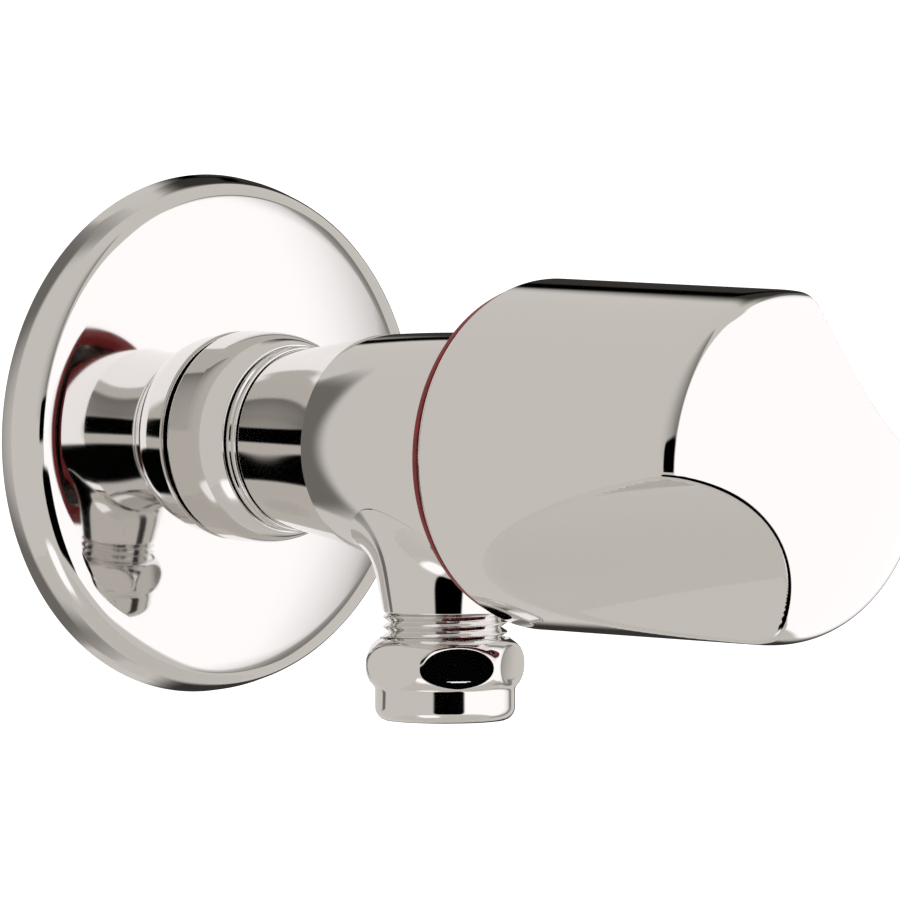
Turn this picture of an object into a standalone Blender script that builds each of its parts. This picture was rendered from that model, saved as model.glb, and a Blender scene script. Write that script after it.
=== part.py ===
"""Angle stop valve: wall flange, body with a downward outlet, headwork and a knob with two finger scoops.

The origin is where the valve's axis crosses the finished wall. +Z is up, the knob points along -Y and the
outlet along -Z. Sizes below are millimetres; every mesh is made in metres.
"""

import math

import bmesh
import bpy

MM = 0.001
GAP = 0.3  # clearance between neighbouring pieces
SEGMENTS = 32  # facets round a large turned piece
BORE_SEGMENTS = 24  # facets round a bore or an inner piece
SMALL_SEGMENTS = 18  # facets round a small one
HANDLE_SEGMENTS = 44

# Distances along the valve's axis, measured outwards from the wall
INLET_END = -14.0
FLANGE_THICKNESS = 1.2
FLANGE_RADIUS = 35.1
FLANGE_HOLE = 11.0
FLANGE_APEX = 9.6
FLANGE_DOME_RADIUS = 170.0
COLLAR_START = 9.6
COLLAR_END = 19.6
COLLAR_RADIUS = 14.25
SPACER_START = 19.9
SPACER_END = 21.7
BODY_SHOULDER = 22.0
BODY_EDGE = 38.0
BODY_FRONT = 74.0
OUTLET_AT = 50.5
SEAT_TOP = 47.3
CHAMBER_FLOOR = 46.0
CHAMBER_END = 60.0
HANDLE_BACK = 71.0

# Radii of the body and its bores
INLET_THREAD_RADIUS = 10.4  # G1/2
INLET_BORE = 6.0
SEAT_BORE = 5.0
CHAMBER_BORE = 9.6
BONNET_THREAD_BORE = 10.75
BARREL_RADIUS = 15.65

# Outlet, measured downwards from the valve's axis
NECK_TOP = 8.0
THREAD_START = 21.7
THREAD_END = 30.5
OUTLET_THREAD_RADIUS = 8.33  # G3/8
OUTLET_BORE = 4.0
TUBE_SOCKET_BORE = 5.15  # takes a 10 mm tube
TUBE_STOP = 20.8
NUT_TOP = 25.4
NUT_END = 36.4
NUT_ACROSS_FLATS = 19.0
NUT_COLLAR_RADIUS = 9.35
NUT_TURN = math.radians(30.0)  # how far a hexagon corner is turned from +X
NUT_CROWN_HEIGHT = 28.9  # the hexagon is turned to a barrel shape, widest here
NUT_CROWN_RADIUS = 3.8
NUT_WIDEST = 10.8

# Headwork
BONNET_FRONT = 92.0
BONNET_HEX = 19.0
GUIDE_HEX = 13.0
PISTON_BORE_END = 70.0  # half a millimetre beyond the plunger's shoulder when the valve is fully open
SHAFT_RADIUS = 4.5
SPLINE_TEETH = 20
SPINDLE_END = 104.0

# Knob
HANDLE_RADIUS = 23.3
HANDLE_LENGTH = 57.0
HANDLE_DOME_RADIUS = 38.0
HANDLE_NOSE_RADIUS = 6.0
HANDLE_BACK_ROUND = 1.4
SCOOP_ANGLES = (129.0, 309.0)  # degrees round the axis from +Z towards -X
SCOOP_START = 0.435  # in knob radii from the back edge
SCOOP_ARC = 1.04  # radius of the scoop's section, in knob radii


# ---------------------------------------------------------------- scene and materials


def clear_scene():
    for obj in list(bpy.data.objects):
        bpy.data.objects.remove(obj, do_unlink=True)


def new_collection(name, helper=False):
    collection = bpy.data.collections.new(name)
    bpy.context.scene.collection.children.link(collection)
    collection.hide_render = helper
    return collection


def finish(name, colour, metallic, roughness):
    """One Principled material."""
    material = bpy.data.materials.new(name)
    material.use_nodes = True
    shader = material.node_tree.nodes["Principled BSDF"]
    shader.inputs["Base Color"].default_value = (*colour, 1.0)
    shader.inputs["Metallic"].default_value = metallic
    shader.inputs["Roughness"].default_value = roughness
    return material


def axis_empty(name, location, rotation, parent=None):
    """An empty whose own +Z is the axis that its pieces are turned about."""
    empty = bpy.data.objects.new(name, None)
    empty.location = [value * MM for value in location]
    empty.rotation_euler = rotation
    empty.empty_display_size = 10 * MM
    empty.parent = parent
    PARTS.objects.link(empty)
    return empty


# ---------------------------------------------------------------- shapes


def arc(centre, radius, start, end, count=5):
    """Points on an arc in the (radius, height) plane, from start to end degrees; 0 is outwards, 90 is up."""
    angles = [math.radians(start + (end - start) * i / (count - 1)) for i in range(count)]
    return [(centre[0] + radius * math.cos(a), centre[1] + radius * math.sin(a)) for a in angles]


def add_object(name, mesh, axis, material=None):
    """Links a mesh as a part, or as a hidden helper when it has no material."""
    obj = bpy.data.objects.new(name, mesh)
    obj.parent = axis
    if material:
        mesh.materials.append(material)
        PARTS.objects.link(obj)
    else:
        obj.hide_render = True
        obj.display_type = "WIRE"
        CUTTERS.objects.link(obj)
    return obj


def turned(name, outline, axis, material=None, ring=False, steps=SEGMENTS):
    """A turned solid. Its outline runs down the outer side, and a ring's outline closes on itself."""
    mesh = bpy.data.meshes.new(name)
    points = [(radius * MM, 0.0, height * MM) for radius, height in outline]
    edges = [(i, i + 1) for i in range(len(points) - 1)]
    if ring:
        edges.append((len(points) - 1, 0))
    mesh.from_pydata(points, edges, [])
    obj = add_object(name, mesh, axis, material)
    screw = obj.modifiers.new("Turn", "SCREW")
    screw.axis = "Z"
    screw.angle = 2 * math.pi
    screw.steps = steps
    screw.render_steps = steps
    screw.use_merge_vertices = True
    screw.merge_threshold = 0.000001
    screw.use_smooth_shade = True
    return obj


def prism(name, sides, corner_radius, low, high, axis, turn=0.0, material=None):
    """An upright prism between two heights, its first corner turned from +X."""
    mesh = bpy.data.meshes.new(name)
    shape = bmesh.new()
    bmesh.ops.create_cone(
        shape,
        cap_ends=True,
        segments=sides,
        radius1=corner_radius * MM,
        radius2=corner_radius * MM,
        depth=(high - low) * MM,
    )
    shape.verts.ensure_lookup_table()
    first = math.atan2(shape.verts[0].co.y, shape.verts[0].co.x)
    spin = math.cos(turn - first), math.sin(turn - first)
    for vert in shape.verts:
        x, y, z = vert.co
        vert.co = (x * spin[0] - y * spin[1], x * spin[1] + y * spin[0], z + (low + high) / 2 * MM)
    shape.to_mesh(mesh)
    shape.free()
    return add_object(name, mesh, axis, material)


def block(name, size, centre, axis):
    """A hidden box for cutting."""
    mesh = bpy.data.meshes.new(name)
    shape = bmesh.new()
    bmesh.ops.create_cube(shape, size=1.0)
    for vert in shape.verts:
        vert.co = [(vert.co[i] * size[i] + centre[i]) * MM for i in range(3)]
    shape.to_mesh(mesh)
    shape.free()
    return add_object(name, mesh, axis)


def loft(name, rings, axis):
    """A hidden closed solid through equal rings of points, capped at both ends."""
    shape = bmesh.new()
    rows = [[shape.verts.new([value * MM for value in point]) for point in ring] for ring in rings]
    count = len(rows[0])
    for lower, upper in zip(rows, rows[1:]):
        for i in range(count):
            j = (i + 1) % count
            shape.faces.new((lower[i], lower[j], upper[j], upper[i]))
    shape.faces.new(list(reversed(rows[0])))
    shape.faces.new(rows[-1])
    bmesh.ops.recalc_face_normals(shape, faces=shape.faces)
    mesh = bpy.data.meshes.new(name)
    shape.to_mesh(mesh)
    shape.free()
    return add_object(name, mesh, axis)


def combine(piece, other, operation):
    """Adds a Boolean modifier: DIFFERENCE, UNION or INTERSECT."""
    modifier = piece.modifiers.new(other.name, "BOOLEAN")
    modifier.operation = operation
    modifier.solver = "EXACT"
    modifier.object = other
    return piece


def plain_ring(name, inner, outer, low, high, axis, material, bevel=0.0, steps=SMALL_SEGMENTS):
    """A flat ring with an optional chamfer on its outer edges."""
    outline = [(inner, high), (outer - bevel, high)]
    if bevel:
        outline += [(outer, high - bevel), (outer, low + bevel)]
    else:
        outline += [(outer, high)]
    outline += [(outer - bevel, low), (inner, low)]
    return turned(name, outline, axis, material, ring=True, steps=steps)


def o_ring(name, centre_radius, cord_radius, height, axis, material):
    circle = arc((centre_radius, height), cord_radius, 180, -180, 7)[:-1]
    return turned(name, circle, axis, material, ring=True, steps=SMALL_SEGMENTS)


# ---------------------------------------------------------------- wall side


def flange_height(radius):
    """Height of the flange's domed face at a radius."""
    drop = FLANGE_DOME_RADIUS - math.sqrt(FLANGE_DOME_RADIUS**2 - radius**2)
    return FLANGE_APEX - drop


def wall_flange():
    """A pressed disc: gently domed face, rounded shoulder and a drafted rim that meets the wall."""
    shoulder = 30.9
    steps = 6
    radii = [FLANGE_HOLE + (shoulder - FLANGE_HOLE) * i / steps for i in range(steps + 1)]
    face = [(r, flange_height(r)) for r in radii]
    rim = [(32.6, 6.45), (33.6, 5.6), (34.3, 4.2), (34.8, 2.4), (FLANGE_RADIUS, 0.0)]
    inside_rim = [(FLANGE_RADIUS - FLANGE_THICKNESS, 0.0), (33.4, 2.6), (32.7, 4.2), (31.9, 5.1)]
    inside_face = [(r, flange_height(r) - FLANGE_THICKNESS) for r in reversed(radii)]
    outline = face + rim + inside_rim + inside_face
    return turned("wall_flange", outline, VALVE_AXIS, CHROME, ring=True)


def lock_collar():
    """A ring on the inlet thread that holds the flange to the wall: plain band, then a convex taper."""
    bore = INLET_THREAD_RADIUS + 0.4
    taper_start = 13.8
    outline = [
        (bore, COLLAR_END),
        (12.3, COLLAR_END),
        (13.0, 18.2),
        (13.6, 16.6),
        (14.05, 15.0),
        (COLLAR_RADIUS, taper_start),
        (COLLAR_RADIUS, COLLAR_START + 0.5),
        (COLLAR_RADIUS - 0.5, COLLAR_START),
        (bore, COLLAR_START),
    ]
    return turned("lock_collar", outline, VALVE_AXIS, CHROME, ring=True)


def spacer_ring():
    """A thin ring with a shallow groove between the lock collar and the body's shoulder."""
    bore = INLET_THREAD_RADIUS + 0.4
    outline = [
        (bore, SPACER_END),
        (12.3, SPACER_END),
        (12.5, 21.4),
        (12.2, 20.8),
        (12.5, 20.2),
        (12.3, SPACER_START),
        (bore, SPACER_START),
    ]
    return turned("spacer_ring", outline, VALVE_AXIS, CHROME, ring=True)


def inlet_seal_ring():
    """The sealing ring in the groove of the inlet thread."""
    return plain_ring("inlet_seal_ring", 9.5, 10.7, -4.7, -2.8, VALVE_AXIS, PTFE, bevel=0.3)


# ---------------------------------------------------------------- body


def valve_body():
    """Inlet stub, cone, barrel and outlet neck in one brass forging, bored through to the seat."""
    blank = [
        (0.0, BODY_FRONT),
        (BARREL_RADIUS - 0.6, BODY_FRONT),
        (BARREL_RADIUS, BODY_FRONT - 0.6),
        (BARREL_RADIUS, 62.0),
        (15.5, 52.0),
        (15.1, 44.0),
        (14.6, BODY_EDGE),
        (13.9, 34.5),
        (13.2, 30.0),
        (12.6, 26.0),
        (12.2, BODY_SHOULDER),
        (INLET_THREAD_RADIUS, BODY_SHOULDER),
        (INLET_THREAD_RADIUS, -2.5),
        (9.2, -2.5),
        (9.2, -5.0),
        (INLET_THREAD_RADIUS, -5.0),
        (INLET_THREAD_RADIUS, INLET_END + 1.0),
        (INLET_THREAD_RADIUS - 1.0, INLET_END),
        (0.0, INLET_END),
    ]
    body = turned("valve_body", blank, VALVE_AXIS, CHROME)
    neck = [
        (0.0, THREAD_END),
        (OUTLET_THREAD_RADIUS - 0.6, THREAD_END),
        (OUTLET_THREAD_RADIUS, THREAD_END - 0.6),
        (OUTLET_THREAD_RADIUS, THREAD_START),
        (8.6, 20.6),
        (9.1, 18.4),
        (9.9, 16.4),
        (11.2, 14.4),
        (12.6, 12.8),
        (12.6, NECK_TOP),
        (0.0, NECK_TOP),
    ]
    combine(body, turned("outlet_neck", neck, OUTLET_AXIS), "UNION")
    bores = [
        (0.0, BODY_FRONT + 1.0),
        (BONNET_THREAD_BORE, BODY_FRONT + 1.0),
        (BONNET_THREAD_BORE, CHAMBER_END),
        (CHAMBER_BORE, CHAMBER_END),
        (CHAMBER_BORE, CHAMBER_FLOOR),
        (6.4, CHAMBER_FLOOR),
        (6.4, SEAT_TOP),
        (SEAT_BORE, SEAT_TOP),
        (SEAT_BORE, 42.0),
        (INLET_BORE, 41.0),
        (INLET_BORE, INLET_END - 1.0),
        (0.0, INLET_END - 1.0),
    ]
    combine(body, turned("body_bores", bores, VALVE_AXIS, steps=BORE_SEGMENTS), "DIFFERENCE")
    outlet = [
        (0.0, THREAD_END + 1.0),
        (6.9, THREAD_END + 1.0),
        (TUBE_SOCKET_BORE, 28.3),
        (TUBE_SOCKET_BORE, TUBE_STOP),
        (OUTLET_BORE, TUBE_STOP),
        (OUTLET_BORE, 5.0),
        (0.0, 5.0),
    ]
    combine(body, turned("outlet_bores", outlet, OUTLET_AXIS, steps=BORE_SEGMENTS), "DIFFERENCE")
    return body


# ---------------------------------------------------------------- headwork


def bonnet():
    """The headwork's body: thread into the valve body, sealing flange, spanner hexagon and shaft bearing."""
    blank = [
        (0.0, BONNET_FRONT),
        (7.4, BONNET_FRONT),
        (8.0, BONNET_FRONT - 0.6),
        (8.0, 77.6),
        (13.0, 77.6),
        (13.4, 77.2),
        (13.4, 75.6),
        (INLET_THREAD_RADIUS, 75.6),
        (INLET_THREAD_RADIUS, CHAMBER_END + 1.0),
        (9.2, CHAMBER_END + 1.0),
        (9.2, 59.0),
        (0.0, 59.0),
    ]
    piece = turned("bonnet", blank, VALVE_AXIS, BRASS, steps=BORE_SEGMENTS)
    corner = BONNET_HEX / math.sqrt(3)
    combine(piece, prism("bonnet_hexagon", 6, corner, 77.0, 83.0, VALVE_AXIS), "UNION")
    bore = [
        (0.0, BONNET_FRONT + 1.0),
        (SHAFT_RADIUS + GAP, BONNET_FRONT + 1.0),
        (SHAFT_RADIUS + GAP, 81.1),
        (6.4, 81.1),
        (6.4, 76.5),
        (5.0, 76.5),
        (5.0, PISTON_BORE_END),
        (7.6, PISTON_BORE_END),
        (7.6, 58.0),
        (0.0, 58.0),
    ]
    combine(piece, turned("bonnet_bores", bore, VALVE_AXIS, steps=BORE_SEGMENTS), "DIFFERENCE")
    guide = prism("bonnet_guide_bore", 6, GUIDE_HEX / math.sqrt(3), 67.5, 77.2, VALVE_AXIS)
    return combine(piece, guide, "DIFFERENCE")


def bonnet_seal():
    return plain_ring("bonnet_seal", 10.9, 13.0, 74.3, 75.3, VALVE_AXIS, FIBRE)


def spindle():
    """Screw that drives the plunger, thrust collar, shaft with seal and clip grooves, and splined end."""
    groove_floor = 3.2
    screw_radius = 3.0
    outline = [(0.0, 94.5), (3.9, 94.5), (3.9, 93.4), (SHAFT_RADIUS, 93.4)]
    for high, low, floor in ((93.3, 92.3, 3.7), (90.0, 88.2, groove_floor), (86.0, 84.2, groove_floor)):
        outline += [(SHAFT_RADIUS, high), (floor, high), (floor, low), (SHAFT_RADIUS, low)]
    outline += [
        (SHAFT_RADIUS, 79.8),
        (6.1, 79.8),
        (6.1, 77.3),
        (screw_radius, 77.3),
        (screw_radius, 60.4),
        (screw_radius - 0.4, 60.0),
        (0.0, 60.0),
    ]
    piece = turned("spindle", outline, VALVE_AXIS, BRASS, steps=SMALL_SEGMENTS)
    combine(piece, spline("spindle_spline", 4.2, 3.9, 94.0, SPINDLE_END), "UNION")
    hole = [(0.0, 105.0), (2.3, 105.0), (2.3, 95.2), (0.0, 95.2)]
    return combine(piece, turned("spindle_hole", hole, VALVE_AXIS, steps=SMALL_SEGMENTS), "DIFFERENCE")


def spline(name, crest, root, low, high):
    """A straight spline with pointed teeth: every second corner of a prism is drawn in to the root."""
    shape = prism(name, 2 * SPLINE_TEETH, crest, low, high, VALVE_AXIS)
    for vert in shape.data.vertices:
        step = math.pi / SPLINE_TEETH
        if round(math.atan2(vert.co.y, vert.co.x) / step) % 2:
            vert.co.x *= root / crest
            vert.co.y *= root / crest
    return shape


def spindle_seals():
    o_ring("spindle_o_ring_inner", 4.0, 0.55, 85.1, SPINDLE_AXIS, RUBBER)
    o_ring("spindle_o_ring_outer", 4.0, 0.55, 89.1, SPINDLE_AXIS, RUBBER)


def spindle_circlip():
    """A spring-steel C ring in the shaft's outer groove."""
    clip = plain_ring("spindle_circlip", 4.0, 6.2, 92.5, 93.1, SPINDLE_AXIS, STEEL)
    return combine(clip, block("clip_gap", (5, 8, 3), (0, -6, 92.8), SPINDLE_AXIS), "DIFFERENCE")


def thrust_washer():
    return plain_ring("thrust_washer", 4.9, 6.1, 80.1, 80.8, SPINDLE_AXIS, PTFE)


def plunger():
    """A hexagonal slide with a round piston and a cup for the seat washer."""
    blank = [
        (0.0, 65.0),
        (7.0, 65.0),
        (7.3, 64.7),
        (7.3, 62.8),
        (5.9, 62.8),
        (5.9, 60.7),
        (7.3, 60.7),
        (7.3, 59.0),
        (5.6, 57.5),
        (5.6, 53.4),
        (8.2, 52.0),
        (8.2, 48.8),
        (0.0, 48.8),
    ]
    piece = turned("plunger", blank, PLUNGER_AXIS, BRASS, steps=BORE_SEGMENTS)
    corner = (GUIDE_HEX - 2 * GAP) / math.sqrt(3)
    combine(piece, prism("plunger_hexagon", 6, corner, 64.0, 72.0, PLUNGER_AXIS), "UNION")
    cup = [(0.0, 50.9), (7.2, 50.9), (7.2, 48.0), (0.0, 48.0)]
    combine(piece, turned("plunger_cup", cup, PLUNGER_AXIS, steps=BORE_SEGMENTS), "DIFFERENCE")
    front_hole = [(0.0, 53.6), (1.9, 53.6), (1.9, 50.0), (0.0, 50.0)]
    combine(piece, turned("plunger_front_hole", front_hole, PLUNGER_AXIS, steps=SMALL_SEGMENTS), "DIFFERENCE")
    thread = [(0.0, 73.0), (3.35, 73.0), (3.35, 55.0), (0.0, 55.0)]
    return combine(piece, turned("plunger_thread", thread, PLUNGER_AXIS, steps=SMALL_SEGMENTS), "DIFFERENCE")


def plunger_o_ring():
    return o_ring("plunger_o_ring", 6.75, 0.65, 61.75, PLUNGER_AXIS, RUBBER)


def seat_washer():
    return plain_ring("seat_washer", 1.9, 6.9, 47.6, 50.6, PLUNGER_AXIS, RUBBER, bevel=0.4)


def screw(name, head_radius, shank_radius, tip, head_low, head_high, axis, flip):
    """A slotted pan-head screw. Flip puts its head at the low end of the shank."""
    if flip:
        outline = [
            (0.0, tip),
            (shank_radius, tip),
            (shank_radius, head_high),
            (head_radius, head_high),
            (head_radius, head_low + 0.5),
            (head_radius - 0.5, head_low),
            (0.0, head_low),
        ]
    else:
        outline = [
            (0.0, head_high),
            (head_radius - 0.5, head_high),
            (head_radius, head_high - 0.5),
            (head_radius, head_low),
            (shank_radius, head_low),
            (shank_radius, tip),
            (0.0, tip),
        ]
    piece = turned(name, outline, axis, STEEL, steps=SMALL_SEGMENTS)
    face = head_low if flip else head_high
    slot = block(name + "_slot", (2.5 * head_radius, 0.9, 2.0), (0.0, 0.0, face), axis)
    return combine(piece, slot, "DIFFERENCE")


# ---------------------------------------------------------------- knob


def scoop_depth(along):
    """Depth of a scoop's middle line below the cylinder, both in knob radii: quick entry, then steady."""
    run = along - SCOOP_START
    return 0.206 * run + 0.097 * (1 - math.exp(-run / 0.156))


def scoop_cutter(index, degrees):
    """A round bar whose middle line sinks towards the knob's axis along its length."""
    direction = -math.sin(math.radians(degrees)), math.cos(math.radians(degrees))
    bar = SCOOP_ARC * HANDLE_RADIUS
    stations = [0.34, 0.435, 0.5, 0.6, 0.75, 1.0, 1.4, 2.6]
    rings = []
    for along in stations:
        reach = HANDLE_RADIUS * (1 - scoop_depth(along)) + bar
        centre = direction[0] * reach, direction[1] * reach
        height = HANDLE_BACK + along * HANDLE_RADIUS
        angles = [2 * math.pi * (i + 0.5) / HANDLE_SEGMENTS for i in range(HANDLE_SEGMENTS)]
        ring = [(centre[0] + bar * math.cos(a), centre[1] + bar * math.sin(a), height) for a in angles]
        rings.append(ring)
    return loft(f"scoop_cutter_{index}", rings, HANDLE_AXIS)


def handle():
    """The chromed knob: a hollow casting, cylindrical with a domed nose and two long scoops."""
    nose_tip = HANDLE_BACK + HANDLE_LENGTH
    dome_centre = nose_tip - HANDLE_DOME_RADIUS
    edge_radius = HANDLE_RADIUS - HANDLE_NOSE_RADIUS
    reach = HANDLE_DOME_RADIUS - HANDLE_NOSE_RADIUS
    edge_height = dome_centre + math.sqrt(reach**2 - edge_radius**2)
    meet = math.degrees(math.atan2(edge_height - dome_centre, edge_radius))
    outline = arc((0.0, dome_centre), HANDLE_DOME_RADIUS, 90, meet, 7)
    outline += arc((edge_radius, edge_height), HANDLE_NOSE_RADIUS, meet, 0, 6)[1:]
    outline += [(HANDLE_RADIUS, HANDLE_BACK + 25.0)]
    back = HANDLE_RADIUS - HANDLE_BACK_ROUND, HANDLE_BACK + HANDLE_BACK_ROUND
    outline += arc(back, HANDLE_BACK_ROUND, 0, -90, 4)
    outline += [(0.0, HANDLE_BACK)]
    knob = turned("handle", outline, HANDLE_AXIS, CHROME, steps=HANDLE_SEGMENTS)
    for index, degrees in enumerate(SCOOP_ANGLES, 1):
        combine(knob, scoop_cutter(index, degrees), "DIFFERENCE")
    hollow = [
        (0.0, 112.0),
        (9.4, 112.0),
        (9.4, 98.0),
        (13.6, 96.0),
        (20.4, 77.0),
        (20.4, HANDLE_BACK - 1.0),
        (0.0, HANDLE_BACK - 1.0),
    ]
    return combine(knob, turned("handle_hollow", hollow, HANDLE_AXIS, steps=BORE_SEGMENTS), "DIFFERENCE")


def handle_insert():
    """The plastic adapter that grips the spindle's spline and carries the knob."""
    outline = [
        (2.4, 106.5),
        (5.0, 106.5),
        (5.0, 110.5),
        (8.5, 110.5),
        (9.0, 110.0),
        (9.0, 94.9),
        (8.4, 94.2),
        (4.5, 94.2),
        (4.5, 104.6),
        (2.4, 104.6),
    ]
    piece = turned("handle_insert", outline, HANDLE_AXIS, WHITE_PLASTIC, ring=True, steps=BORE_SEGMENTS)
    return combine(piece, block("insert_slit", (30, 1.2, 6), (0, 0, 93.5), HANDLE_AXIS), "DIFFERENCE")


def hot_ring():
    """The red ring that closes the knob's back, clipped inside its edge."""
    outline = [
        (18.9, 73.4),
        (20.1, 73.4),
        (20.1, 70.7),
        (22.4, 70.7),
        (22.8, 70.3),
        (22.8, 69.9),
        (22.5, 69.6),
        (16.2, 69.6),
        (16.2, 70.7),
        (18.9, 70.7),
    ]
    return turned("hot_ring", outline, HANDLE_AXIS, RED_PLASTIC, ring=True)


# ---------------------------------------------------------------- outlet


def outlet_nut():
    """Compression nut: a barrel-turned hexagon above a round collar, threaded above and coned below."""
    bore = OUTLET_THREAD_RADIUS + 0.32
    crown = NUT_WIDEST - NUT_CROWN_RADIUS, NUT_CROWN_HEIGHT
    outline = [(5.3, NUT_END), (7.5, NUT_END)]
    outline += arc((7.5, NUT_END - 1.85), 1.85, 75, 0, 4)
    outline += [(NUT_COLLAR_RADIUS, 32.2)]
    outline += arc(crown, NUT_CROWN_RADIUS, 55, -62, 8)
    outline += [
        (bore + 0.2, NUT_TOP),
        (bore, NUT_TOP),
        (bore, 31.8),
        (7.2, 32.6),
        (7.2, 33.0),
        (5.3, 34.8),
    ]
    nut = turned("outlet_nut", outline, NUT_AXIS, CHROME, ring=True)
    corner = NUT_ACROSS_FLATS / math.sqrt(3)
    hexagon = prism("nut_hexagon", 6, corner, NUT_TOP - 1, NUT_END + 1, NUT_AXIS, turn=NUT_TURN)
    return combine(nut, hexagon, "INTERSECT")


def olive():
    """The double-coned compression ring between the nut and the outlet's mouth."""
    outline = [
        (5.1, 34.2),
        (5.5, 34.2),
        (6.7, 32.6),
        (6.7, 31.9),
        (5.45, 29.3),
        (5.1, 29.3),
    ]
    return turned("olive", outline, OLIVE_AXIS, BRASS, ring=True, steps=BORE_SEGMENTS)


# ---------------------------------------------------------------- assembly

clear_scene()
PARTS = new_collection("angle_stop_valve")
CUTTERS = new_collection("cutters", helper=True)

CHROME = finish("chrome_plated_brass", (0.80, 0.79, 0.77), 1.0, 0.06)
BRASS = finish("turned_brass", (0.78, 0.60, 0.28), 1.0, 0.28)
STEEL = finish("stainless_steel", (0.62, 0.62, 0.62), 1.0, 0.3)
RUBBER = finish("black_nitrile_rubber", (0.03, 0.03, 0.03), 0.0, 0.6)
PTFE = finish("white_ptfe", (0.85, 0.85, 0.82), 0.0, 0.45)
FIBRE = finish("red_fibre", (0.35, 0.08, 0.05), 0.0, 0.8)
WHITE_PLASTIC = finish("white_acetal", (0.82, 0.82, 0.80), 0.0, 0.4)
RED_PLASTIC = finish("red_plastic", (0.38, 0.02, 0.04), 0.0, 0.25)

OUTWARDS = (math.pi / 2, 0.0, 0.0)
DOWNWARDS = (math.pi, 0.0, 0.0)
STRAIGHT = (0.0, 0.0, 0.0)
VALVE_AXIS = axis_empty("valve_axis", (0, 0, 0), OUTWARDS)
OUTLET_AXIS = axis_empty("outlet_axis", (0, -OUTLET_AT, 0), DOWNWARDS)
SPINDLE_AXIS = axis_empty("spindle_axis", (0, 0, 0), STRAIGHT, VALVE_AXIS)
HANDLE_AXIS = axis_empty("handle_axis", (0, 0, 0), STRAIGHT, SPINDLE_AXIS)
PLUNGER_AXIS = axis_empty("plunger_axis", (0, 0, 0), STRAIGHT, VALVE_AXIS)
OLIVE_AXIS = axis_empty("olive_axis", (0, 0, 0), STRAIGHT, OUTLET_AXIS)
NUT_AXIS = axis_empty("nut_axis", (0, 0, 0), STRAIGHT, OLIVE_AXIS)

wall_flange()
lock_collar()
spacer_ring()
inlet_seal_ring()
valve_body()
bonnet()
bonnet_seal()
spindle()
spindle_seals()
spindle_circlip()
thrust_washer()
plunger()
plunger_o_ring()
seat_washer()
screw("washer_screw", 3.6, 1.6, 53.2, 45.3, 47.3, PLUNGER_AXIS, flip=True)
handle()
handle_insert()
screw("insert_screw", 4.2, 2.0, 96.0, 106.8, 109.4, HANDLE_AXIS, flip=False)
hot_ring()
outlet_nut()
olive()
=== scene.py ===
# %% [markdown]
# # A chromed angle stop valve, surface by surface
#
# The valve's working parts come packed from CAD as a fixed frame of plain facets. This lesson builds the
# polished outside around that frame. Chrome shows every facet, so each visible piece is worked out as a
# smooth surface of two parameters, with its exact normals, and the light is built like a product studio:
# bright cards to reflect, and a few black ones for the dark lines that make metal look like metal.

import bpy
import numpy as np
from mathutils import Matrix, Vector


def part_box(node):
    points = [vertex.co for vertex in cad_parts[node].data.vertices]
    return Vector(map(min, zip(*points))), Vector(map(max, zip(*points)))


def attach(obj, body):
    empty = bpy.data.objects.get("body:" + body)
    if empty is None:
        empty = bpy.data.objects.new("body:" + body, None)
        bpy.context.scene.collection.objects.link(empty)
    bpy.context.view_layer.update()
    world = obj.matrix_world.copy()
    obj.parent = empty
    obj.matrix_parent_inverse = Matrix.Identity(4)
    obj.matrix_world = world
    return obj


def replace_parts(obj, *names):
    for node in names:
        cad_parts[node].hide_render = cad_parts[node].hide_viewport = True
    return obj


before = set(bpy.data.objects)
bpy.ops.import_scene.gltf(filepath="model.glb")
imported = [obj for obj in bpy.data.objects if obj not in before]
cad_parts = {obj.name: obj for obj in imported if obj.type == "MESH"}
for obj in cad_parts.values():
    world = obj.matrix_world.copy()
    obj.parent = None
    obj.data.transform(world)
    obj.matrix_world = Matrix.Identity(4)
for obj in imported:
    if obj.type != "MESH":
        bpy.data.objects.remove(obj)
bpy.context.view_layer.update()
MM = 0.001

# %% [markdown]
# ## Two axes
#
# Nearly everything on this valve is turned: the flange, collar, body and knob about the valve's own axis,
# and the outlet and its nut about a second axis that points down. A place on a turned piece is a radius, an
# angle and a distance along the axis, so one small class turns those three into millimetres in the frame.


# %% Turning axes
class Axis:
    """A turning axis: its origin, its direction, and the ways where the angle is 0 and 90 degrees."""

    def __init__(self, origin, direction, zero, quarter):
        self.origin = np.array(origin, float)
        self.direction = np.array(direction, float)
        self.zero = np.array(zero, float)
        self.quarter = np.array(quarter, float)

    def turn(self, across, along, angle):
        """across times the spoke at the angle, plus along times the axis direction."""
        spoke = np.cos(angle)[..., None] * self.zero + np.sin(angle)[..., None] * self.quarter
        return across[..., None] * spoke + along[..., None] * self.direction

    def place(self, radius, along, angle):
        return self.origin + self.turn(radius, along, angle)

    def from_local(self, local):
        """Two directions across the axis and one along it, turned into the frame's x, y and z."""
        return local[..., :1] * self.zero + local[..., 1:2] * self.quarter + local[..., 2:] * self.direction


nut_low, nut_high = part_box("outlet_nut")
OUTLET_AT = -(nut_low.y + nut_high.y) / 2 / MM
VALVE = Axis((0, 0, 0), (0, -1, 0), (0, 0, 1), (-1, 0, 0))
OUTLET = Axis((0, -OUTLET_AT, 0), (0, 0, -1), (1, 0, 0), (0, -1, 0))
print("outlet axis stands", round(OUTLET_AT, 2), "mm from the wall")

# %% [markdown]
# ## From a grid to a mesh
#
# A surface of two parameters is a grid of points. The columns go round the piece and close on themselves.
# The rows either close too, as round a ring's section, or run from pole to pole. The normals come with the
# points, because the average of neighbouring faces would bend the reflection beside every rounded edge.


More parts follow.
